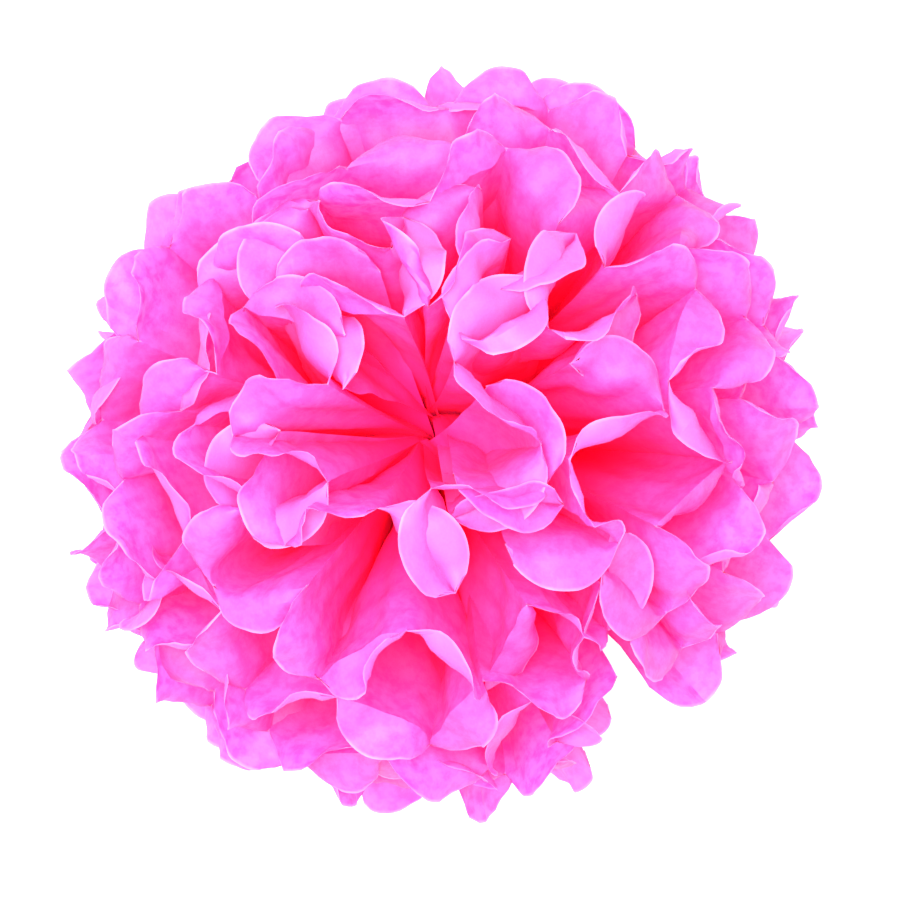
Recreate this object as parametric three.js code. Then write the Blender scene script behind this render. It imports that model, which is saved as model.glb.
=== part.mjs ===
// Tissue paper pom pom, in millimetres, +Z up, standing on its lowest petals at z = 0.
//
// A stack of tissue sheets is folded together like an accordion into one narrow strip.
// The strip's two ends are trimmed round, and a wire is twisted tight round its middle.
// Each sheet then opens into two half fans, one on each side of the wire, and the fans
// are pulled apart, half of them up and half of them down, until they fill a ball.
//
// Each sheet here is one closed solid: a flat neck that lies in the wire, two pleated
// half fans at the sheet's own slope, and a round petal end on each panel. The strip
// runs along X, so the two half fans of a sheet meet in the plane x = 0. The paper is
// drawn far thicker than it is, as a stand-in for the soft sheet.
import * as THREE from "three";

// The folded stack
const sheetCount = 12;
const pleatCount = 12;
const pleatWidth = 35;
const reach = 125; // from the wire to the tip of a petal
const petalDepth = 14; // how far a round petal end stands beyond its two creases

// How the sheets are pulled apart, as slopes above and below the middle of the ball
const flattestSlope = 8;
const steepestSlope = 80;

// The neck that the wire holds. It is straight where the wire passes, and round beyond it,
// so that each crease leaves it square to its edge.
const neckStraight = 2;
const neckHalfLength = 6;
const neckHalfWidth = 5;
const fanFoot = 4; // from the middle of the ball to the centre of a half fan
const neckPitch = 1.5; // from one sheet to the next
const neckThickness = 0.4;
const fanThickness = 1.4;

// The wire tie
const wireDiameter = 1.0;
const wireClearance = 0.6; // between the paper stack and the wire
const cornerRadius = 1.5;
const tailStart = 4.5; // from the stack's side to where the two ends begin to twist
const tailLength = 22;
const twistRadius = 0.8; // from the tail's middle line to each strand's
const twistPitch = 6;

const ballFloor = reach * Math.sin(THREE.MathUtils.degToRad(steepestSlope)) - 3.5;
const wireHeight = ballFloor; // the wire's height above the surface that the ball stands on

const tissuePink = new THREE.MeshStandardMaterial({
  color: 0xfc63cf,
  roughness: 0.85,
  metalness: 0,
  side: THREE.DoubleSide,
});
const wireSteel = new THREE.MeshStandardMaterial({
  color: 0xb9bcc0,
  roughness: 0.35,
  metalness: 1,
});

// The slope of a sheet's fans in radians: sheet 0 is the topmost and the last the lowest.
function slopeOf(sheet) {
  const half = sheetCount / 2;
  const above = sheet < half;
  const step = above ? half - 1 - sheet : sheet - half;
  const slope = flattestSlope + ((steepestSlope - flattestSlope) * step) / (half - 1);
  return THREE.MathUtils.degToRad(above ? slope : -slope);
}

// The unit vector from the wire along a fan, and the one that crosses it upwards.
function alongFan(azimuth, slope) {
  return new THREE.Vector3(
    Math.cos(slope) * Math.cos(azimuth),
    Math.cos(slope) * Math.sin(azimuth),
    Math.sin(slope),
  );
}

function acrossFan(azimuth, slope) {
  return new THREE.Vector3(
    -Math.sin(slope) * Math.cos(azimuth),
    -Math.sin(slope) * Math.sin(azimuth),
    Math.cos(slope),
  );
}

// The outline of one half fan: for each crease its neck point and its outer point, and for
// each panel the points of its round petal end. A point carries the direction in which the
// solid is thick there.
function fanPoints(sheet) {
  const slope = slopeOf(sheet);
  const height = (sheetCount / 2 - 0.5 - sheet) * neckPitch;
  const creaseReach = reach - petalDepth;
  const chord = creaseReach * Math.cos(slope) * (Math.PI / pleatCount);
  const rise = Math.sqrt(pleatWidth ** 2 - chord ** 2) / 2;
  const swing = Math.asin(rise / creaseReach);
  const foot = new THREE.Vector3(fanFoot, 0, 0);
  const neckBulge = neckHalfLength - neckStraight;
  const neck = [];
  const outer = [];
  for (let i = 0; i <= pleatCount; i++) {
    const share = i / pleatCount;
    const azimuth = Math.PI * (share - 0.5);
    const pleat = slope + (i % 2 === 0 ? swing : -swing);
    neck.push({
      at: new THREE.Vector3(
        neckStraight + neckBulge * Math.cos(azimuth),
        neckHalfWidth * Math.sin(azimuth),
        height,
      ),
      thick: new THREE.Vector3(0, 0, neckThickness / 2),
    });
    outer.push({
      at: alongFan(azimuth, pleat).multiplyScalar(creaseReach).add(foot),
      thick: acrossFan(azimuth, slope).multiplyScalar(fanThickness / 2),
    });
  }
  const petalShares = [0.15, 0.5, 0.85];
  const petals = [];
  for (let i = 0; i < pleatCount; i++) {
    petals.push(
      petalShares.map((share) => {
        const at = outer[i].at.clone().lerp(outer[i + 1].at, share);
        const away = at.clone().sub(foot).normalize();
        const depth = petalDepth * Math.sqrt(1 - (2 * share - 1) ** 2);
        return {
          at: at.addScaledVector(away, depth),
          thick: outer[i].thick.clone().lerp(outer[i + 1].thick, share),
        };
      }),
    );
  }
  return { neck, outer, petals };
}

// One sheet's closed solid. Every point is laid down twice, on the upper and on the lower
// side of the paper, and once more with x turned round for the fan on the far side.
function sheetGeometry(sheet) {
  const { neck, outer, petals } = fanPoints(sheet);
  const positions = [];
  const indices = [];

  function corner(point, side, mirror) {
    const at = point.at.clone().addScaledVector(point.thick, side);
    positions.push(at.x * mirror, at.y, Math.max(at.z, -ballFloor) + wireHeight);
    return positions.length / 3 - 1;
  }

  // A point's four corners: upper and lower, here and mirrored.
  function corners(point) {
    return {
      right: [corner(point, 1, 1), corner(point, -1, 1)],
      left: [corner(point, 1, -1), corner(point, -1, -1)],
    };
  }

  const neckCorners = neck.map(corners);
  const outerCorners = outer.map(corners);
  const petalCorners = petals.map((petal) => petal.map(corners));

  // A triangle of the upper side with its twin on the lower side, which faces the other way.
  function bothSides(a, b, c) {
    indices.push(a[0], b[0], c[0], a[1], c[1], b[1]);
  }

  // The narrow wall between the two sides, along the edge from a to b.
  function wall(a, b) {
    indices.push(a[1], b[1], b[0], a[1], b[0], a[0]);
  }

  for (let i = 0; i < pleatCount; i++) {
    // The neck, from the far side's crease points to this side's.
    bothSides(neckCorners[i].left, neckCorners[i].right, neckCorners[i + 1].right);
    bothSides(neckCorners[i].left, neckCorners[i + 1].right, neckCorners[i + 1].left);
    for (const hand of ["right", "left"]) {
      const turn = hand === "right" ? (a, b, c) => bothSides(a, b, c) : (a, b, c) => bothSides(a, c, b);
      const [n0, n1] = [neckCorners[i][hand], neckCorners[i + 1][hand]];
      const [o0, o1] = [outerCorners[i][hand], outerCorners[i + 1][hand]];
      const tips = petalCorners[i].map((tip) => tip[hand]);
      turn(n0, o0, o1);
      turn(n0, o1, n1);
      const rim = [o0, ...tips, o1];
      for (let k = 1; k < rim.length - 1; k++) turn(rim[0], rim[k], rim[k + 1]);
      for (let k = 0; k < rim.length - 1; k++) {
        if (hand === "right") wall(rim[k], rim[k + 1]);
        else wall(rim[k + 1], rim[k]);
      }
    }
  }

  // The sheet's own two straight edges, at the first and the last crease.
  const first = [outerCorners[0].left, neckCorners[0].left, neckCorners[0].right, outerCorners[0].right];
  const last = [
    outerCorners[pleatCount].right,
    neckCorners[pleatCount].right,
    neckCorners[pleatCount].left,
    outerCorners[pleatCount].left,
  ];
  for (const edge of [first, last]) {
    for (let k = 0; k < edge.length - 1; k++) wall(edge[k], edge[k + 1]);
  }

  const geometry = new THREE.BufferGeometry();
  geometry.setAttribute("position", new THREE.Float32BufferAttribute(positions, 3));
  geometry.setIndex(indices);
  geometry.computeVertexNormals();
  return geometry;
}

// The wire runs once round the stack in the plane x = 0, and its two ends are twisted
// together into a tail that lies in the gap between the half fans.
function wireGeometry() {
  const radius = wireDiameter / 2;
  const halfHeight = ((sheetCount - 1) * neckPitch + neckThickness) / 2 + wireClearance + radius;
  const halfWidth = neckHalfWidth + wireClearance + radius;
  const points = [];

  function strand(offset, outwards) {
    const steps = 6 * (tailLength / twistPitch);
    for (let k = 0; k <= steps; k++) {
      const along = (outwards ? k : steps - k) / steps;
      const angle = offset + (2 * Math.PI * tailLength * along) / twistPitch;
      points.push(
        new THREE.Vector3(
          twistRadius * Math.sin(angle),
          halfWidth + tailStart + tailLength * along,
          twistRadius * Math.cos(angle),
        ),
      );
    }
  }

  // A quarter turn round a corner of the loop, from one angle to the next.
  function bend(y, z, from) {
    for (let k = 0; k <= 3; k++) {
      const angle = from + (k / 3) * (Math.PI / 2);
      points.push(
        new THREE.Vector3(0, y + cornerRadius * Math.cos(angle), z + cornerRadius * Math.sin(angle)),
      );
    }
  }

  const cornerY = halfWidth - cornerRadius;
  const cornerZ = halfHeight - cornerRadius;
  strand(0, false);
  bend(cornerY, cornerZ, 0);
  bend(-cornerY, cornerZ, Math.PI / 2);
  bend(-cornerY, -cornerZ, Math.PI);
  bend(cornerY, -cornerZ, (3 * Math.PI) / 2);
  strand(Math.PI, true);

  const section = new THREE.Shape();
  section.absarc(0, 0, radius, 0, 2 * Math.PI, false);
  const geometry = new THREE.ExtrudeGeometry(section, {
    extrudePath: new THREE.CatmullRomCurve3(points, false, "centripetal"),
    steps: 110,
    curveSegments: 4,
    bevelEnabled: false,
  });
  geometry.translate(0, 0, wireHeight);
  return geometry;
}

const pompom = new THREE.Group();
for (let sheet = 0; sheet < sheetCount; sheet++) {
  const mesh = new THREE.Mesh(sheetGeometry(sheet), tissuePink);
  mesh.name = `tissue_sheet_${String(sheet + 1).padStart(2, "0")}`;
  pompom.add(mesh);
}

const wire = new THREE.Mesh(wireGeometry(), wireSteel);
wire.name = "wire_tie";
pompom.add(wire);

export default pompom;
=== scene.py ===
import math
import time

import bmesh
import bpy
import numpy as np
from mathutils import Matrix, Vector


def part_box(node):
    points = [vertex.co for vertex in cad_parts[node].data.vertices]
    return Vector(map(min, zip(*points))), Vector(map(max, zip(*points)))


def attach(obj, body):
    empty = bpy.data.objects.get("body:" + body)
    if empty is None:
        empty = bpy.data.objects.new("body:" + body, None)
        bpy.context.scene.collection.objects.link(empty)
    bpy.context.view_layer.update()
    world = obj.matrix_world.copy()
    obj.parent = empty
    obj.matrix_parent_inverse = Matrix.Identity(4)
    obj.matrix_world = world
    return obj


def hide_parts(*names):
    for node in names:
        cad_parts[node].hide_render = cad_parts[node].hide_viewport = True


started = time.time()
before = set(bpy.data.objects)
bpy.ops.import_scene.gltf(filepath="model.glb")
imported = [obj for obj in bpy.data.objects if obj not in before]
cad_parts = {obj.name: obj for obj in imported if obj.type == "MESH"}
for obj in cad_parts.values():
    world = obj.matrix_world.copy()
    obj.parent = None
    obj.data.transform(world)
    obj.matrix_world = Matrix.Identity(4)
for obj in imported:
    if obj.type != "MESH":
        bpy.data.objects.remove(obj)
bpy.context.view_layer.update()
print("Stage 1: the frame is loaded")

mm = 0.001
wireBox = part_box("wire_tie")
ballHeight = (wireBox[0][2] + wireBox[1][2]) / 2

# One sheet as it is cut and folded, in millimetres
pleats = {
    "sheets": 12,
    "panels": 12,
    "panelWidth": 35.0,
    "notchReach": 114.5,  # from the wire to a crease's outer end
    "petalDepth": 14.5,  # the round end beyond it
}

# How the ball is opened, in degrees and millimetres
ball = {
    "slopes": [71.0, 57.0, 43.5, 30.5, 18.2, 6.0],  # the upper six sheets, and the lower six as a mirror
    "fanSpan": 90.0,  # a half fan's last crease from its middle
    "footX": 4.0,  # from the middle of the ball to the centre of a half fan
    "neckWidth": 4.4,  # half the gathered width in the wire
    "neckPitch": 1.3,  # from one sheet to the next there
    "gatherReach": 45.0,  # where a panel is its whole width again
    "gatherWidth": 0.3,  # and its share of that width in the wire
    "warp": 0.18,  # how far the hands have pushed whole groups of petals, in radians
    "warpWaves": 4.0,  # radians of that push's wave to the ball's radius
}

# How the paper is relaxed into place: first on a coarse grid, then on a finer one
relax = {
    "seed": 26,
    "heldReach": 38.0,  # what lies nearer to the wire stays gathered
    "listEvery": 8,  # rounds from one search for near layers to the next
    "bendShare": 0.11,  # how much of a wrong bend is put right in a round
    "foldShare": 0.12,
    "creaseShare": 0.1,
    "pushShare": 0.35,  # and how much of a gap between two layers that is too small
    "ownGap": 0.62,  # a sheet's own layers may lie nearer together
    "wireGap": 1.2,  # and so may all of them at the wire
    "levels": [
        # Points across a panel, along it and on its round end, and the gap between layers,
        # which grows to its full size over the length gapBy.
        {"columns": 4, "rows": 14, "capRows": 2, "rounds": 260, "gap": 5.0, "gapBy": 45},
        {"columns": 8, "rows": 28, "capRows": 4, "rounds": 70, "gap": 3.0, "gapBy": 70},
    ],
}

# How one petal differs from the next, in degrees and millimetres
petals = {
    "curl": (-1 / 140, 1 / 90),  # mean and spread of the curvature along the strip
    "cup": (0, 1 / 130),  # and of the one across a panel
    "foldOpen": (20, 75),  # the angle that a crease is left at
    "foldFlat": (115, 170),  # or, where two panels have been spread into one wide petal
    "flatFolds": (0.2, 0.04),  # how many are, at the middle of the ball and at its poles
    "capShares": (0.58, 0.30),  # of round ends left nearly flat, and bent; the others are folded over
    "steepOver": 0.3,  # and fewer of them on the steepest sheets
    "capFlat": (-20, 20),
    "capBent": (-70, 40),
    "capOver": (-150, -90),
    "lengthwiseShare": 0.2,  # of petals with a fold along them,
    "lengthwise": (25, 80),  # and its angle
    "tug": 8.0,  # how far the fingers have pulled one petal's end
    "groupTug": 12.0,  # and a few neighbours together
    "polarTug": 0.9,  # the tugs' share at the poles
    "seamTug": 14.0,  # how far the last petals of both half fans are drawn together over the seam
    "notchTug": 5.0,  # and how far the first ones are drawn apart, which leaves a notch
    "dent": 0.0009,  # random curvature all over, from the paper's handling
    "flatSlope": 30.0,  # below this slope the round ends lie flatter
    "steepCalm": 0.6,  # and on the steepest sheets they stand up straight
}


# How far the round end stands beyond the notches, at a share of a panel's width.
def capDepth(share):
    return pleats["petalDepth"] * np.sqrt(np.clip(1 - (2 * share - 1) ** 2, 0, 1))


def smooth(x):
    x = np.clip(x, 0, 1)
    return x * x * (3 - 2 * x)


def unit(v):
    return v / np.maximum(np.linalg.norm(v, axis=-1, keepdims=True), 1e-9)


# Flat places of a sheet's points: across the pleats in panels, each one's share of its panel, and
# the length along the strip from the wire.
def sheetGrid(columns, rows, capRows):
    across = np.arange(pleats["panels"] * columns + 1) / columns  # in panels
    share = across - np.floor(across)
    body = np.arange(rows + 1) / rows * pleats["notchReach"]
    cap = np.arange(1, capRows + 1) / capRows
    half = np.concatenate(
        [
            np.broadcast_to(body, (len(across), len(body))),
            pleats["notchReach"] + capDepth(share)[:, None] * cap,
        ],
        1,
    )
    return across, share, np.concatenate([-half[:, :0:-1], half], 1)


# Every sheet opened evenly, all of them nested, as an array of sheets, columns, rows and xyz.
def openFans(columns, rows, capRows):
    across, _, flat = sheetGrid(columns, rows, capRows)
    t = np.abs(flat)
    side = np.sign(flat)
    side[side == 0] = 1
    panels = pleats["panels"]
    azimuth = np.radians(ball["fanSpan"]) * (2 * np.arange(panels + 1) / panels - 1)
    step = azimuth[1] - azimuth[0]
    slopes = np.radians(ball["slopes"] + [-s for s in reversed(ball["slopes"])])
    spots = np.zeros((pleats["sheets"],) + flat.shape + (3,))
    panel = np.minimum(np.floor(across).astype(int), panels - 1)
    inPanel = across - panel
    for number, slope in enumerate(slopes):
        level = (pleats["sheets"] / 2 - 0.5 - number) * ball["neckPitch"]
        width = pleats["panelWidth"] * (
            ball["gatherWidth"] + (1 - ball["gatherWidth"]) * smooth(t / ball["gatherReach"])
        )
        chord = t * math.cos(slope) * step
        rise = np.sqrt(np.maximum(width ** 2 - chord ** 2, 1)) / 2
        swing = np.arcsin(np.minimum(rise / np.maximum(t, 0.1), 0.75))

        def creaseLine(k):
            zig = np.where(k % 2 == 0, 1.0, -1.0)[:, None]
            high = slope + zig * swing
            turn = azimuth[k][:, None]
            out = np.stack(
                [side * np.cos(turn) * np.cos(high), np.sin(turn) * np.cos(high), np.sin(high)], -1
            )
            out = out * t[..., None]
            out[..., 0] += side * ball["footX"]
            neck = np.stack(
                [
                    flat,
                    np.broadcast_to((2 * k / panels - 1)[:, None] * ball["neckWidth"], flat.shape),
                    level + 0.25 * zig + 0 * flat,
                ],
                -1,
            )
            away = smooth(t / 24)[..., None]
            return neck * (1 - away) + out * away

        low, high = creaseLine(panel), creaseLine(panel + 1)
        spots[number] = low + (high - low) * inPanel[:, None, None]
    return spots


# A smooth random field on directions, for pushing whole groups of petals about.
def warpField(rng, waves, count=14):
    k = unit(rng.normal(size=(count, 3))) * waves * rng.uniform(0.6, 1.3, (count, 1))
    phase = rng.uniform(0, 2 * math.pi, count)
    push = rng.normal(size=(count, 3)) / math.sqrt(count)

    def field(d):
        return np.sin(d @ k.T + phase) @ push

    return field


# Turns every direction by a smooth random field, so that nested sheets stay nested.
def pushGroups(spots, level, rng):
    _, _, flat = sheetGrid(level["columns"], level["rows"], level["capRows"])
    t = np.abs(flat)[None, :, :, None]
    direction = unit(spots)
    push = warpField(rng, ball["warpWaves"])(direction) * ball["warp"]
    push -= (push * direction).sum(-1, keepdims=True) * direction
    return spots + push * t * smooth((t - 10) / 40)


# Every pair of points nearer than reach, by sorting them into cells.
def nearPairs(spots, reach):
    cell = np.floor((spots - spots.min(0)) / reach).astype(np.int64) + 1
    size = cell.max(0) + 2
    key = (cell[:, 0] * size[1] + cell[:, 1]) * size[2] + cell[:, 2]
    order = np.argsort(key, kind="stable")
    ranked = key[order]
    pairs = []
    steps = [(x, y, z) for x in (-1, 0, 1) for y in (-1, 0, 1) for z in (-1, 0, 1)]
    # Half of the cells around are enough, because the other half would find each pair again.
    for x, y, z in steps[13:]:
        other = ranked + (x * size[1] + y) * size[2] + z
        first = np.searchsorted(ranked, other, "left")
        last = np.searchsorted(ranked, other, "right")
        count = last - first
        a = np.repeat(np.arange(len(ranked)), count)
        start = np.repeat(first - np.concatenate([[0], np.cumsum(count)[:-1]]), count)
        b = start + np.arange(len(a))
        if (x, y, z) == (0, 0, 0):
            keep = b > a
            a, b = a[keep], b[keep]
        pairs.append(np.stack([order[a], order[b]]))
    pairs = np.concatenate(pairs, 1)
    d = spots[pairs[0]] - spots[pairs[1]]
    return pairs[:, (d * d).sum(1) < reach * reach]


# Where the hands have worked on the ball, in millimetres from its axis. It is seen from above,
# with the seam turned away from y by the angle.
hands = {
    "turn": 40.0,
    # gaps that the fingers have opened, each with its radius
    "gaps": [
        (-25, 10, 13), (-8, 26, 9), (-26, -24, 12), (16, 20, 9), (19, 6, 8), (30, 22, 12),
        (4, -11, 7), (44, -3, 11), (-36, 52, 10), (-40, 72, 9), (-9, 74, 9), (-66, 35, 9),
        (30, -51, 8), (-54, -56, 10), (-70, -29, 8), (-11, -37, 9), (63, -75, 9), (-21, -79, 7),
    ],
    # petals whose round ends are folded over
    "folded": [
        (-55, 61), (-77, 18), (57, 32), (-27, 46), (-16, -70), (30, -77), (74, 17),
    ],
    # and petals that are spread wide
    "wide": [
        (46, 55), (12, 43), (-54, 29), (-75, -5), (-66, -46), (0, -77), (62, -42), (74, 1), (-44, 79),
        (-6, 79),
    ],
    "gapMargin": 12.0,  # how far beyond a gap its push is felt
    "gapTug": 0.8,  # shares of the whole way that a petal is pushed or pulled
    "placeTug": 0.8,
    "foldedCap": (-150, -115),  # how far those round ends are bent, in degrees
    "wideCap": (-15, 10),
    "wideOpen": 150,  # and the angle of the crease beside a wide petal
}


# The middle of every petal's round end, as sheets, panels, halves and xyz.
def petalEnds(spots, level):
    columns, capRows = level["columns"], level["capRows"]
    ends = np.zeros((pleats["sheets"], pleats["panels"], 2, 3))
    for panel in range(pleats["panels"]):
        across = slice(panel * columns, (panel + 1) * columns + 1)
        ends[:, panel, 0] = spots[:, across, :capRows].mean((1, 2))
        ends[:, panel, 1] = spots[:, across, -capRows:].mean((1, 2))
    return ends


# A place as seen, turned into the ball's own axes.
def turned(x, y):
    turn = math.radians(hands["turn"])
    return np.array([x * math.cos(turn) + y * math.sin(turn), y * math.cos(turn) - x * math.sin(turn)])


# The petals whose ends lie nearest to the given places on the upper half of the ball.
def petalsAt(places, ends, taken):
    reach = np.linalg.norm(ends[: pleats["sheets"] // 2], axis=-1).mean()
    found = []
    for x, y in places:
        flatPlace = turned(x, y)
        target = np.append(flatPlace, math.sqrt(reach ** 2 - flatPlace @ flatPlace))
        away = np.linalg.norm(ends - target, axis=-1)
        for other in taken:
            away[other] = 1e9
        petal = np.unravel_index(away.argmin(), away.shape)
        taken.append(petal)
        found.append((petal, target - ends[petal]))
    return found


# What sets each petal apart, as arrays of sheets, panels and the two halves.
def drawPetals(rng, ends):
    size = (pleats["sheets"], pleats["panels"], 2)
    flatShare, bentShare = petals["capShares"]
    kind = rng.random(size)
    over = kind > flatShare + bentShare
    for number in range(1, size[0]):
        over[number] &= ~over[number - 1]
    over[[0, 1, -2, -1]] &= rng.random((4,) + size[1:]) < petals["steepOver"]
    kind = np.where(over, 1.0, np.minimum(kind, flatShare + bentShare - 0.01))
    slopes = np.array(ball["slopes"] + ball["slopes"][::-1])
    calm = np.clip(slopes / petals["flatSlope"], 0.25, 1)[:, None, None]
    calm = calm * (1 - petals["steepCalm"] * smooth((slopes - 35) / 35))[:, None, None]
    cap = rng.uniform(*petals["capOver"], size)
    cap = np.where(kind < flatShare + bentShare, rng.uniform(*petals["capBent"], size), cap)
    cap = np.where(kind < flatShare, rng.uniform(*petals["capFlat"], size), cap)
    cap = cap * calm
    folded = rng.random(size) < petals["lengthwiseShare"]
    opening = (size[0], size[1] + 1, 2)
    low, high = petals["flatFolds"]
    spread = rng.random(opening) < (low + (high - low) * slopes / 75)[:, None, None]
    spread[:, 2:] &= ~(spread[:, 1:-1] & spread[:, :-2])
    flatAngle = rng.uniform(*petals["foldFlat"], opening)
    opened = np.where(spread, flatAngle, rng.uniform(*petals["foldOpen"], opening))
    lengthwise = rng.uniform(*petals["lengthwise"], size) * rng.choice([-1, 1], size)
    group = rng.normal(size=size + (3,))
    group = sum(np.roll(group, shift, 1) for shift in (-1, 0, 1)) / math.sqrt(3)
    tug = rng.normal(size=size + (3,)) * petals["tug"] + group * petals["groupTug"]
    # The steep sheets have less room, and the two half fans are drawn together where they meet.
    room = petals["polarTug"] + (1 - petals["polarTug"]) * np.cos(np.radians(slopes))
    tug *= room[:, None, None, None]
    for x, y, radius in hands["gaps"]:
        away = ends[..., :2] - turned(x, y)
        apart = np.maximum(np.linalg.norm(away, axis=-1, keepdims=True), 1.0)
        push = np.clip(radius + hands["gapMargin"] - apart, 0, None) * hands["gapTug"]
        push = push * (ends[..., 2:] > 0)
        tug[..., :2] += away / apart * push
    taken = []
    for petal, way in petalsAt(hands["folded"], ends, taken):
        tug[petal] = way * hands["placeTug"]
        over[petal], folded[petal] = True, False
        cap[petal] = rng.uniform(*hands["foldedCap"])
    for petal, way in petalsAt(hands["wide"], ends, taken):
        tug[petal] = way * hands["placeTug"]
        over[petal], folded[petal] = False, False
        cap[petal] = rng.uniform(*hands["wideCap"])
        opened[petal[0], petal[1] + 1, petal[2]] = hands["wideOpen"]
    for side, sign in ((0, 1), (1, -1)):
        tug[:, -2:, side, 0] = sign * petals["seamTug"]
        tug[:2, :2, side, 0] = sign * petals["seamTug"]
        tug[2:, :1, side, 0] = -sign * petals["notchTug"]
    return {
        "curl": rng.normal(*petals["curl"], size),
        "cup": rng.normal(*petals["cup"], size),
        "cap": cap,
        "over": over,
        "lengthwise": np.where(folded, 2 * np.sin(np.radians(lengthwise) / 2), 0),
        "quarter": rng.integers(1, 4, size),  # where a lengthwise fold lies, in quarters of the panel
        "open": np.radians(opened),
        "tug": tug,
    }


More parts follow.
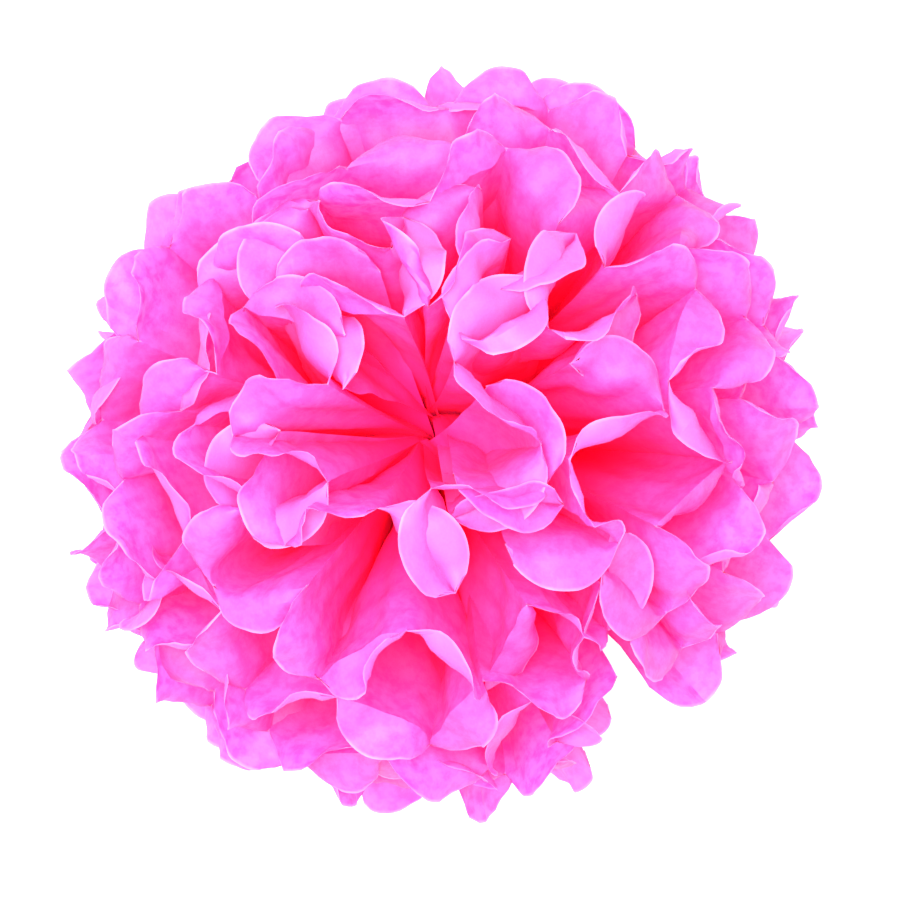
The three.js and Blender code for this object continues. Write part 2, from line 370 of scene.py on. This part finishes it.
# Paper that can't stretch, keeps its folds and doesn't pass through itself, brought to rest.
def relaxSheets(spots, drawn, level, first):
    columns, rows, capRows = level["columns"], level["rows"], level["capRows"]
    across, _, flat = sheetGrid(columns, rows, capRows)
    t = np.abs(flat)
    panels = pleats["panels"]
    nCol, nRow = flat.shape
    spots = spots.astype(np.float32)
    home = spots.copy()
    dAcross = pleats["panelWidth"] / columns
    free = (t > relax["heldReach"]).astype(np.float32)
    free = np.broadcast_to(free, spots.shape[:3])[..., None].copy()
    hold = (0.25 * (1 - smooth((t - relax["heldReach"]) / 30)))[None, :, :, None].astype(np.float32)
    gather = ball["gatherWidth"] + (1 - ball["gatherWidth"]) * smooth(t / ball["gatherReach"])

    # Links that keep their length, in sets that share no point
    full = slice(None)
    links = []

    def addLink(ca, ra, cb, rb, stiff):
        wide = ((np.arange(nCol)[cb] - np.arange(nCol)[ca]) * dAcross)[:, None]
        wide = wide * (gather[ca][:, ra] + gather[cb][:, rb]) / 2
        rest = np.sqrt(wide ** 2 + (flat[cb][:, rb] - flat[ca][:, ra]) ** 2)
        links.append((ca, ra, cb, rb, rest[None, :, :, None].astype(np.float32), stiff))

    for off in (0, 1):
        a, b = slice(off, nCol - 1, 2), slice(off + 1, nCol, 2)
        addLink(a, full, b, full, 1.0)
        addLink(full, slice(off, nRow - 1, 2), full, slice(off + 1, nRow, 2), 1.0)
        addLink(a, slice(0, nRow - 1), b, slice(1, nRow), 0.7)
        addLink(a, slice(1, nRow), b, slice(0, nRow - 1), 0.7)

    petal = np.minimum(np.floor(across).astype(int), panels - 1)
    half = (flat > 0).astype(int)

    # Values by sheet, panel and half, spread over the columns and rows.
    def perPetal(values):
        return values[:, petal[:, None], half]

    # The bend that each row and each column wants
    ds = np.maximum(np.abs(np.diff(flat, axis=1)), 0.4)
    ds = (ds[:, 1:] + ds[:, :-1]) / 2
    curl = perPetal(drawn["curl"]) * smooth((t - 70) / 30)[None]
    alongBend = curl[:, :, 1:-1] * ds[None] ** 2
    for side, row, way in ((0, capRows, -1), (1, 2 * rows + capRows, 1)):
        over = drawn["over"][:, petal, side]
        cap = np.radians(drawn["cap"][:, petal, side])
        sharp, soft = 2 * np.sin(cap / 2), cap / (capRows + 1)
        for step in range(-1, capRows):
            bent = soft if step else np.where(over, sharp, soft)
            if step:
                bent = np.where(over, 0, bent)
            at = row + way * step - 1
            alongBend[:, :, at] += bent * ds[None, :, at]
    dents = np.random.default_rng(columns).normal(size=(2,) + spots.shape[:3])
    for _ in range(2):
        dents[:, :, 1:-1] = (dents[:, :, :-2] + dents[:, :, 1:-1] + dents[:, :, 2:]) / 1.9
        dents[..., 1:-1] = (dents[..., :-2] + dents[..., 1:-1] + dents[..., 2:]) / 1.9
    dents *= petals["dent"] * dAcross ** 2 * smooth((t - 55) / 30)
    alongBend = (alongBend + dents[0, :, :, 1:-1])[..., None].astype(np.float32)
    acrossBend = perPetal(drawn["cup"]) * smooth((t - 60) / 40)[None] * dAcross ** 2
    quarter = (np.arange(nCol) - petal * columns) * 4 / columns
    foldHere = perPetal(drawn["quarter"]) == quarter[None, :, None]
    foldHere &= perPetal(drawn["lengthwise"]) != 0
    fold = perPetal(drawn["lengthwise"]) * dAcross * smooth((t - 45) / 40)[None]
    acrossBend = (np.where(foldHere, fold, acrossBend) + dents[1]).astype(np.float32)

    inner = np.arange(1, nCol - 1)
    plain, folds = inner[inner % columns != 0], inner[inner % columns == 0]
    openAngle = drawn["open"][:, folds // columns][:, :, half[0]]
    foldRise = (2 * dAcross * np.cos(openAngle / 2) * gather[folds][None])[..., None].astype(np.float32)
    acrossBend = acrossBend[:, plain][..., None]
    tug = np.stack([perPetal(drawn["tug"][..., i]) for i in range(3)], -1)
    tug = (0.02 * tug * smooth((t - 70) / 50)[None, :, :, None] * free).astype(np.float32)

    shape = spots.shape[:3]
    sheetOf, colOf, rowOf = (axis.ravel() for axis in np.indices(shape))
    tOf = np.broadcast_to(t[None], shape).ravel()
    gapOf = relax["wireGap"] + (level["gap"] - relax["wireGap"]) * smooth((tOf - 25) / level["gapBy"])
    awake = np.nonzero(tOf > 28)[0]
    freeOf = free.ravel()
    reach = 1 + columns // 2 + columns // 4
    rounds = level["rounds"]
    floorAt = -ballHeight / mm + 0.4
    for turn in range(rounds):
        if first:
            spots += tug * max(0.0, 1 - turn / (0.6 * rounds))
        spots += free * hold * (home - spots)
        dRow = spots[:, :, 2:] - spots[:, :, :-2]
        dCol = np.empty_like(dRow)
        dCol[:, 1:-1] = spots[:, 2:, 1:-1] - spots[:, :-2, 1:-1]
        dCol[:, 0] = spots[:, 1, 1:-1] - spots[:, 0, 1:-1]
        dCol[:, -1] = spots[:, -1, 1:-1] - spots[:, -2, 1:-1]
        normal = unit(np.cross(dRow, dCol))
        bend = alongBend * normal - (spots[:, :, :-2] - 2 * spots[:, :, 1:-1] + spots[:, :, 2:])
        bend *= relax["bendShare"]
        move = np.zeros_like(spots)
        move[:, :, 1:-1] -= bend
        move[:, :, :-2] += 0.5 * bend
        move[:, :, 2:] += 0.5 * bend
        normal = np.concatenate([normal[:, :, :1], normal, normal[:, :, -1:]], 2)
        bend = acrossBend * normal[:, plain]
        bend -= spots[:, plain - 1] - 2 * spots[:, plain] + spots[:, plain + 1]
        bend *= relax["bendShare"]
        move[:, plain] -= bend
        move[:, plain - 1] += 0.5 * bend
        move[:, plain + 1] += 0.5 * bend
        second = spots[:, folds - 1] - 2 * spots[:, folds] + spots[:, folds + 1]
        size = np.maximum(np.linalg.norm(second, axis=-1, keepdims=True), 1e-6)
        bend = (foldRise / size - 1) * second * relax["foldShare"]
        move[:, folds] -= bend
        move[:, folds - 1] += 0.5 * bend
        move[:, folds + 1] += 0.5 * bend
        # A crease keeps its own line straight.
        wide = columns // 2
        for row in (slice(0, nRow // 2 + 1), slice(nRow // 2, nRow)):
            line = spots[:, ::columns, row]
            bend = line[:, :, : -2 * wide] - 2 * line[:, :, wide:-wide] + line[:, :, 2 * wide :]
            bend *= relax["creaseShare"]
            lineMove = move[:, ::columns, row]
            lineMove[:, :, wide:-wide] += bend
            lineMove[:, :, : -2 * wide] -= 0.5 * bend
            lineMove[:, :, 2 * wide :] -= 0.5 * bend
        spots += move * free

        # No layer passes through another.
        listed = spots.reshape(-1, 3)
        if turn % relax["listEvery"] == 0:
            near = nearPairs(listed[awake], level["gap"] * 1.5)
            a, b = awake[near[0]], awake[near[1]]
            same = sheetOf[a] == sheetOf[b]
            close = (np.abs(colOf[a] - colOf[b]) <= reach) & (np.abs(rowOf[a] - rowOf[b]) <= reach)
            keep = ~(same & close) & (freeOf[a] + freeOf[b] > 0)
            pairA, pairB = a[keep], b[keep]
            pairGap = np.minimum(gapOf[pairA], gapOf[pairB]) * np.where(same[keep], relax["ownGap"], 1)
        for _ in range(2):
            d = listed[pairA] - listed[pairB]
            size = np.sqrt((d * d).sum(1))
            hit = np.nonzero(size < pairGap)[0]
            a, b = pairA[hit], pairB[hit]
            push = (pairGap[hit] - size[hit]) / np.maximum(size[hit], 1e-6) * relax["pushShare"]
            push = d[hit] * push[:, None]
            for axis in range(3):
                listed[:, axis] += freeOf * np.bincount(a, push[:, axis], len(listed))
                listed[:, axis] -= freeOf * np.bincount(b, push[:, axis], len(listed))
        for _ in range(3):
            for ca, ra, cb, rb, rest, stiff in links:
                a, b = spots[:, ca, ra], spots[:, cb, rb]
                wa, wb = free[:, ca, ra], free[:, cb, rb]
                d = b - a
                size = np.sqrt(np.einsum("abcd,abcd->abc", d, d))[..., None]
                d *= stiff * (size - rest) / (np.maximum(size, 1e-6) * np.maximum(wa + wb, 1))
                spots[:, ca, ra] += wa * d
                spots[:, cb, rb] -= wb * d
        spots[..., 2] = np.maximum(spots[..., 2], floorAt)
    d = np.linalg.norm(np.diff(spots, axis=1), axis=-1) / dAcross
    outer = d[:, :, capRows : capRows + rows // 2]
    print("  stretch", np.percentile(outer, [1, 50, 99]).round(3), "hits", len(hit), "of", len(pairA))
    return spots


# A smooth curve through one half column's points, read at the wanted lengths.
def alongStrip(points, at, wanted):
    place = (wanted - at[0]) / (at[1] - at[0])
    i = np.clip(np.floor(place).astype(int), 0, len(at) - 2)
    f = (place - i)[:, None]
    p1, p2 = points[..., i, :], points[..., i + 1, :]
    p0 = np.where((i == 0)[:, None], 2 * p1 - p2, points[..., np.maximum(i - 1, 0), :])
    p3 = points[..., np.minimum(i + 2, len(at) - 1), :]
    p3 = np.where((i == len(at) - 2)[:, None], 2 * p2 - p1, p3)
    m1, m2 = (p2 - p0) / 2, (p3 - p1) / 2
    near = (2 * f ** 3 - 3 * f ** 2 + 1) * p1 + (f ** 3 - 2 * f ** 2 + f) * m1
    return near + (-2 * f ** 3 + 3 * f ** 2) * p2 + (f ** 3 - f ** 2) * m2


# Cubic weights of evenly spaced marks for a place among them, from the four nearest.
def between(place, marks):
    start = int(np.clip(math.floor(place) - 1, marks[0], max(marks[-1] - 3, marks[0])))
    used = [m for m in range(start, start + 4) if m <= marks[-1]]
    weights = {}
    for mark in used:
        weights[mark] = 1.0
        for other in used:
            if other != mark:
                weights[mark] *= (place - other) / (mark - other)
    return weights


# The relaxed points drawn on a finer grid. A panel stays smooth, and each fold stays sharp.
def refine(coarse, drawn, old, new):
    k = old["columns"]
    _, _, flatOld = sheetGrid(k, old["rows"], old["capRows"])
    across, share, flat = sheetGrid(new["columns"], new["rows"], new["capRows"])
    fine = np.zeros((len(coarse), len(across), flat.shape[1], 3))
    bodyOld = slice(old["capRows"], old["capRows"] + 2 * old["rows"] + 1)
    bodyNew = slice(new["capRows"], new["capRows"] + 2 * new["rows"] + 1)
    body = alongStrip(coarse[:, :, bodyOld], flatOld[0, bodyOld], flat[0, bodyNew])
    middleOld, middleNew = old["capRows"] + old["rows"], new["capRows"] + new["rows"]
    depthOld = np.maximum(capDepth(np.arange(k + 1) / k), 1e-3)[:, None, None]
    step = new["columns"]
    for side, sign in ((0, -1), (1, 1)):
        rowsNew = middleNew + sign * np.arange(new["rows"] + 1)
        chord = coarse[:, :, middleOld + sign * old["rows"]]
        tips = [coarse[:, :, middleOld + sign * (old["rows"] + r)] for r in range(1, old["capRows"] + 1)]
        for sheet in range(len(coarse)):
            for panel in range(pleats["panels"]):
                ends = [0, k]
                if drawn["lengthwise"][sheet, panel, side] != 0:
                    ends.insert(1, drawn["quarter"][sheet, panel, side] * k // 4)
                bodyWeights = np.zeros((step + 1, k + 1))
                capWeights = np.zeros((step + 1, k + 1))
                for j in range(step + 1):
                    place = j * k / step
                    piece = 1 if len(ends) == 3 and place > ends[1] else 0
                    marks = range(ends[piece], ends[piece + 1] + 1)
                    for mark, weight in between(place, marks).items():
                        bodyWeights[j, mark] = weight
                    marks = range(max(marks[0], 1), min(marks[-1], k - 1) + 1)
                    for mark, weight in between(place, marks).items():
                        capWeights[j, mark] = weight
                oldCols = slice(panel * k, panel * k + k + 1)
                newCols = slice(panel * step, panel * step + step + 1)
                source = body[sheet, oldCols][:, rowsNew - new["capRows"]]
                fine[sheet, newCols, rowsNew] = np.einsum("jc,crx->rjx", bodyWeights, source)
                edge = fine[sheet, newCols, middleNew + sign * new["rows"]]
                ways = np.stack([tip[sheet, oldCols] - chord[sheet, oldCols] for tip in tips], 1)
                ways = ways / depthOld
                ways = np.concatenate([np.zeros_like(ways[:, :1]), ways], 1)
                ways = np.einsum("jc,crx->jrx", capWeights, ways)
                depth = capDepth(share[newCols])[:, None]
                for r in range(1, new["capRows"] + 1):
                    q = r / new["capRows"] * old["capRows"]
                    way = sum(w * ways[:, m] for m, w in between(q, range(old["capRows"] + 1)).items())
                    fine[sheet, newCols, middleNew + sign * (new["rows"] + r)] = edge + depth * way
    return fine


# The finest grid, and the paper's small creases, in millimetres
detail = {
    "columns": 18,
    "rows": 52,
    "capRows": 7,
    "facets": ((23.0, 1.9), (15.0, 0.8)),  # spacing and height of the straight handling creases
    "crumple": ((8.0, 0.22), (3.6, 0.07)),  # and of the small wrinkles
    "rimWave": 0.45,  # how far the cut edge stands out of the petal's face
    "tears": 0.25,  # and how ragged it is at the notches
    "lowest": 0.3,  # above the floor
    "paintedShadeFrom": 56,  # from the wire to where the painted shade begins to fade
    "paintedShadeOver": 73,  # and the length over which it fades
    "rimWidth": 4.2,  # of the band along the cut edge that is painted with a pale highlight
    "sharpFold": 32,  # in degrees: what is bent more shows as a crease
}


# Smooth random heights over a sheet, with a given wavelength.
def heights(rng, across, flat, wave):
    turn = rng.uniform(0, math.pi)
    x = np.broadcast_to((across * pleats["panelWidth"])[:, None], flat.shape)
    u = (x * math.cos(turn) - flat * math.sin(turn)) * 2 / wave
    v = (x * math.sin(turn) + flat * math.cos(turn)) * 2 / wave
    u, v = u - u.min(), v - v.min()
    i, j = u.astype(int), v.astype(int)
    fu, fv = smooth(u - i), smooth(v - j)
    grid = rng.normal(size=(i.max() + 2, j.max() + 2))
    low = grid[i, j] * (1 - fu) + grid[i + 1, j] * fu
    return low * (1 - fv) + (grid[i, j + 1] * (1 - fu) + grid[i + 1, j + 1] * fu) * fv


# Flat facets between straight creases, which lie another way on each petal.
def facets(rng, across, flat, spacing):
    panel = np.minimum(np.floor(across).astype(int), pleats["panels"] - 1)
    half = (flat > 0).astype(int)
    turn = rng.normal(0, 0.7, (pleats["panels"], 2))[panel[:, None], half]
    start = rng.uniform(0, 1, (pleats["panels"], 2))[panel[:, None], half]
    place = across[:, None] * pleats["panelWidth"] * np.cos(turn) + flat * np.sin(turn)
    place = place / spacing + start
    place = place + 0.2 * np.sin(2.1 * place + 9 * start)
    return np.abs(place % 1 - 0.5) * 2 - 0.5


# Handling creases over the whole sheet, a wavy cut edge, and small tears where the notches are.
def crinkle(points, seed):
    rng = np.random.default_rng(seed)
    across, share, flat = sheetGrid(detail["columns"], detail["rows"], detail["capRows"])
    t = np.abs(flat)
    dCol, dRow = np.gradient(points, axis=0), np.gradient(points, axis=1)
    normal = unit(np.cross(dRow, dCol))
    rise = sum(height * facets(rng, across, flat, spacing) for spacing, height in detail["facets"])
    for wave, height in detail["crumple"]:
        rise = rise + height * (0.8 - np.abs(heights(rng, across, flat, wave))) * 1.3
    edge = pleats["notchReach"] + capDepth(share)[:, None]
    rim = smooth(1 - (edge - t) / 7)
    rise = rise * smooth((t - 45) / 40) + detail["rimWave"] * rim * heights(rng, across, flat, 11.0)
    crease = np.minimum(share, 1 - share)[:, None] * pleats["panelWidth"]
    rise = rise * smooth(crease / 3)
    torn = smooth(1 - crease / 5) * smooth(1 - (edge - t) / 6)
    drift = np.stack([rng.normal(size=flat.shape) for _ in range(3)], -1)
    return points + normal * rise[..., None] + drift * (detail["tears"] * torn)[..., None] * 0.6


# One sheet's mesh: a plain grid, bent to the relaxed points.
def makeSheet(number, points):
    nCol, nRow = points.shape[:2]
    bm = bmesh.new()
    bmesh.ops.create_grid(bm, x_segments=nCol - 1, y_segments=nRow - 1, size=1)
    mesh = bpy.data.meshes.new("tissue_%02d" % number)
    bm.to_mesh(mesh)
    bm.free()
    place = np.zeros(len(mesh.vertices) * 3)
    mesh.vertices.foreach_get("co", place)
    place = place.reshape(-1, 3)
    col = np.rint((place[:, 0] + 1) / 2 * (nCol - 1)).astype(int)
    row = np.rint((place[:, 1] + 1) / 2 * (nRow - 1)).astype(int)
    across, share, flat = sheetGrid(detail["columns"], detail["rows"], detail["capRows"])
    spots = points[col, row] * mm
    # No crinkle dips below the floor.
    spots[:, 2] = np.maximum(spots[:, 2] + ballHeight, detail["lowest"] * mm)
    mesh.vertices.foreach_set("co", spots.ravel())
    layer = mesh.uv_layers.new(name="sheet")
    corner = np.zeros(len(mesh.loops), int)
    mesh.loops.foreach_get("vertex_index", corner)
    uv = np.stack([across[col] * pleats["panelWidth"], flat[col, row] + 150], -1) / 100
    layer.data.foreach_set("uv", uv[corner].ravel())
    t = np.abs(flat)[col, row]
    edge = pleats["notchReach"] + capDepth(share)[col]
    # What the material needs to know: how far out a point lies, for the painted shade towards the
    # gathered middle, and how near to the cut edge, for the painted highlight along it.
    marks = {
        "along": smooth((t - detail["paintedShadeFrom"]) / detail["paintedShadeOver"]),
        "rim": np.clip(1 - (edge - t) / detail["rimWidth"], 0, 1),
    }
    for name, values in marks.items():
        mesh.attributes.new(name, "FLOAT", "POINT").data.foreach_set("value", values)
    mesh.update()
    if number <= pleats["sheets"] // 2:
        mesh.flip_normals()
    mesh.shade_smooth()
    mesh.set_sharp_from_angle(angle=math.radians(detail["sharpFold"]))
    piece = bpy.data.objects.new("tissue_%02d" % number, mesh)
    bpy.context.collection.objects.link(piece)
    return piece


# The look of the tissue. The UV map's unit is 100 mm, so a scale of 22 makes patches of 4.5 mm.
# The colours are sRGB hex values.
tissueLook = {
    "patchScale": 22.0,  # clouds of thicker fibre, 4.5 mm
    "fibreScale": 60.0,  # the grain of the fibres, 1.7 mm, drawn coarser than it is so that it shows
    "rimHighlightScale": 9.0,  # stretches of 11 mm where the painted highlight on the cut edge is stronger or weaker
    "thin": "ff56b8",
    "thick": "ff48ae",
    # the outer, glazed side: lighter, partly its own tone and partly a painted sheen
    "glazedSideAndSheen": "ff62be",
    # painted shade: a deeper pink towards the gathered middle, where the folds shade each other
    "paintedShade": "ff1c8c",
    # painted highlight: a pale line along the cut edge, where the edges catch light
    "rim": "ff94dc",
    # and the light that comes through it
    "glowThin": "ff6ccc",
    "glowThick": "ff36ac",
    # the same painted shade in the light that comes through, deeper towards the middle
    "glowPaintedShade": "ff1c94",
    # the painted highlight along the cut edge, in the light that comes through
    "glowPaintedRim": "ffa2ea",
    "through": 0.44,  # the share of the light that passes
    "roughness": 0.6,
    "specular": 0.9,
}


# An sRGB hex colour as linear values.
def shade(hexColor):
    parts = [int(hexColor[i:i + 2], 16) / 255 for i in (0, 2, 4)]
    return [p / 12.92 if p <= 0.04045 else ((p + 0.055) / 1.055) ** 2.4 for p in parts] + [1.0]


# One node with its settings, and its inputs as values or as links from other nodes.
def addNode(tree, kind, inputs=None, **settings):
    node = tree.nodes.new(kind)
    for key, value in settings.items():
        setattr(node, key, value)
    for key, value in (inputs or {}).items():
        if hasattr(value, "is_output"):
            tree.links.new(value, node.inputs[key])
        else:
            node.inputs[key].default_value = value
    return node


# Dyed tissue paper: matt fibres that glow where light comes through, cloudy where they lie thick.
# It is painted a deeper pink towards the gathered middle, which is painted shade, its cut edge is a pale
# line of painted highlight, and its outer side is lighter, partly the glazed side's own tone and partly a
# painted sheen.
def tissueMaterial():
    look = tissueLook
    material = bpy.data.materials.new("dyed tissue paper")
    material.use_nodes = True
    tree = material.node_tree
    tree.nodes.clear()
    place = addNode(tree, "ShaderNodeTexCoord").outputs["UV"]

    def noise(scale, detail, rough):
        settings = {"Vector": place, "Scale": scale, "Detail": detail, "Roughness": rough}
        return addNode(tree, "ShaderNodeTexNoise", settings).outputs["Fac"]

    def spread(value, low, high, lowest=0.0):
        settings = {"Value": value, "From Min": low, "From Max": high, "To Min": lowest}
        return addNode(tree, "ShaderNodeMapRange", settings).outputs[0]

    def blend(factor, first, second):
        colours = {0: factor, 6: first, 7: second}
        return addNode(tree, "ShaderNodeMix", colours, data_type="RGBA").outputs[2]

    patches = spread(noise(look["patchScale"], 3.0, 0.6), 0.4, 0.62)
    # The outer side gets a lighter colour, partly its own glazed tone and partly a painted sheen.
    glazedSideAndSheen = addNode(tree, "ShaderNodeNewGeometry").outputs["Backfacing"]
    # along: how far out a point lies, which fades the painted shade towards the middle
    along = addNode(tree, "ShaderNodeAttribute", attribute_name="along").outputs["Fac"]
    # rim: nearness to the cut edge, which carries a painted highlight
    rim = addNode(tree, "ShaderNodeAttribute", attribute_name="rim").outputs["Fac"]
    # The painted highlight along the cut edge is stronger or weaker in stretches.
    rimHighlightPatches = spread(noise(look["rimHighlightScale"], 2.0, 0.5), 0.38, 0.58, 0.35)
    rim = spread(rim, 0.72, 1.0)
    rim = addNode(tree, "ShaderNodeMath", {0: rim, 1: rimHighlightPatches}, operation="MULTIPLY").outputs[0]
    face = blend(patches, shade(look["thin"]), shade(look["thick"]))
    face = blend(glazedSideAndSheen, face, shade(look["glazedSideAndSheen"]))
    # Painted shade deepens the colour towards the middle, and a painted highlight lightens the cut edge.
    face = blend(rim, blend(along, shade(look["paintedShade"]), face), shade(look["rim"]))
    glow = blend(patches, shade(look["glowThin"]), shade(look["glowThick"]))
    # The same painted shade and painted highlight in the light that comes through.
    glow = blend(rim, blend(along, shade(look["glowPaintedShade"]), glow), shade(look["glowPaintedRim"]))
    fibre = noise(look["fibreScale"], 4.0, 0.65)
    bump = addNode(tree, "ShaderNodeBump", {"Height": fibre, "Strength": 0.25, "Distance": 0.0006})
    body = addNode(
        tree,
        "ShaderNodeBsdfPrincipled",
        {
            "Base Color": face,
            "Roughness": look["roughness"],
            "Specular IOR Level": look["specular"],
            "Normal": bump.outputs["Normal"],
        },
    )
    through = addNode(tree, "ShaderNodeBsdfTranslucent", {"Color": glow})
    shares = {0: look["through"], 1: body.outputs[0], 2: through.outputs[0]}
    both = addNode(tree, "ShaderNodeMixShader", shares)
    addNode(tree, "ShaderNodeOutputMaterial", {"Surface": both.outputs[0]})
    return material


wireLook = {
    "colour": "b9bcc0",
    "spotScale": 1500.0,  # to the metre, so that the zinc's spots are about 0.7 mm across
    "roughness": (0.3, 0.5),
}


# Thin galvanised wire: a dull silver line with a soft, slightly uneven shine.
def wireMaterial():
    material = bpy.data.materials.new("galvanised wire")
    material.use_nodes = True
    tree = material.node_tree
    tree.nodes.clear()
    place = addNode(tree, "ShaderNodeTexCoord").outputs["Object"]
    settings = {"Vector": place, "Scale": wireLook["spotScale"], "Detail": 2.0}
    zinc = addNode(tree, "ShaderNodeTexNoise", settings).outputs["Fac"]
    low, high = wireLook["roughness"]
    dull = addNode(tree, "ShaderNodeMapRange", {"Value": zinc, "To Min": low, "To Max": high})
    body = addNode(
        tree,
        "ShaderNodeBsdfPrincipled",
        {"Base Color": shade(wireLook["colour"]), "Metallic": 1.0, "Roughness": dull.outputs[0]},
    )
    addNode(tree, "ShaderNodeOutputMaterial", {"Surface": body.outputs[0]})
    return material


rng = np.random.default_rng(relax["seed"])
levels = relax["levels"]
spots = openFans(levels[0]["columns"], levels[0]["rows"], levels[0]["capRows"])
spots = pushGroups(spots, levels[0], rng)
drawn = drawPetals(rng, petalEnds(spots, levels[0]))
for number, level in enumerate(levels):
    if number > 0:
        spots = refine(spots, drawn, levels[number - 1], level)
    spots = relaxSheets(spots, drawn, level, number == 0)
    print("Stage 2: relaxed at %d columns to a panel, %.1f s" % (level["columns"], time.time() - started))
fine = refine(spots, drawn, levels[-1], detail)
tissue = tissueMaterial()
for number in range(pleats["sheets"]):
    piece = makeSheet(number + 1, crinkle(fine[number], number + 1))
    piece.data.materials.append(tissue)
    node = "tissue_sheet_%02d" % (number + 1)
    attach(piece, "root")
    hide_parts(node)
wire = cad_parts["wire_tie"]
wire.data.materials.clear()
wire.data.materials.append(wireMaterial())
print("Stage 3: the sheets are made, %.1f s" % (time.time() - started))

# The pale floor, the soft light and the camera that looks down on the ball
studio = {
    "floorSize": 6.0,
    "floorColour": "f2f2f2",
    "skyStrength": 2.0,
    "lampSize": 0.7,
    "lampWatts": 32.0,
    "lampPlace": (-0.1, 0.16, 1.35),
    "lens": 133.0,
    "shift": (0.0109, -0.0114),
    "cameraAbove": 1.1,  # the wire, in metres
    "bounces": 18,  # light has to pass through many layers of paper to reach the deepest folds
    "paperBounces": 16,
}


# White sweep paper: plain, and so matt that it shows no reflection.
def floorMaterial():
    material = bpy.data.materials.new("white paper sweep")
    material.use_nodes = True
    body = material.node_tree.nodes["Principled BSDF"]
    body.inputs["Base Color"].default_value = shade(studio["floorColour"])
    body.inputs["Roughness"].default_value = 0.9
    return material


bm = bmesh.new()
bmesh.ops.create_grid(bm, x_segments=1, y_segments=1, size=studio["floorSize"])
mesh = bpy.data.meshes.new("floor")
bm.to_mesh(mesh)
bm.free()
mesh.materials.append(floorMaterial())
floor = bpy.data.objects.new("floor", mesh)
bpy.context.collection.objects.link(floor)

world = bpy.data.worlds.new("studio")
world.use_nodes = True
sky = world.node_tree.nodes["Background"]
sky.inputs["Color"].default_value = (1, 1, 1, 1)
sky.inputs["Strength"].default_value = studio["skyStrength"]
bpy.context.scene.world = world

lamp = bpy.data.lights.new("key", "AREA")
lamp.size = studio["lampSize"]
lamp.energy = studio["lampWatts"]
key = bpy.data.objects.new("key", lamp)
key.location = studio["lampPlace"]
key.rotation_euler = (Vector((0, 0, ballHeight)) - key.location).to_track_quat("-Z", "Y").to_euler()
bpy.context.collection.objects.link(key)

camera = bpy.data.cameras.new("camera")
camera.lens = studio["lens"]
camera.sensor_width = 36
camera.shift_x, camera.shift_y = studio["shift"]
view = bpy.data.objects.new("camera", camera)
view.location = (0, 0, ballHeight + studio["cameraAbove"])
view.rotation_euler = (0, 0, -math.radians(hands["turn"]))
bpy.context.collection.objects.link(view)
bpy.context.scene.camera = view
bpy.context.scene.view_settings.view_transform = "Standard"
bpy.context.scene.cycles.max_bounces = studio["bounces"]
bpy.context.scene.cycles.diffuse_bounces = studio["paperBounces"]
bpy.context.scene.cycles.transmission_bounces = studio["paperBounces"]

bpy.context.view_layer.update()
print("Stage 4: the studio is set, %.1f s" % (time.time() - started))
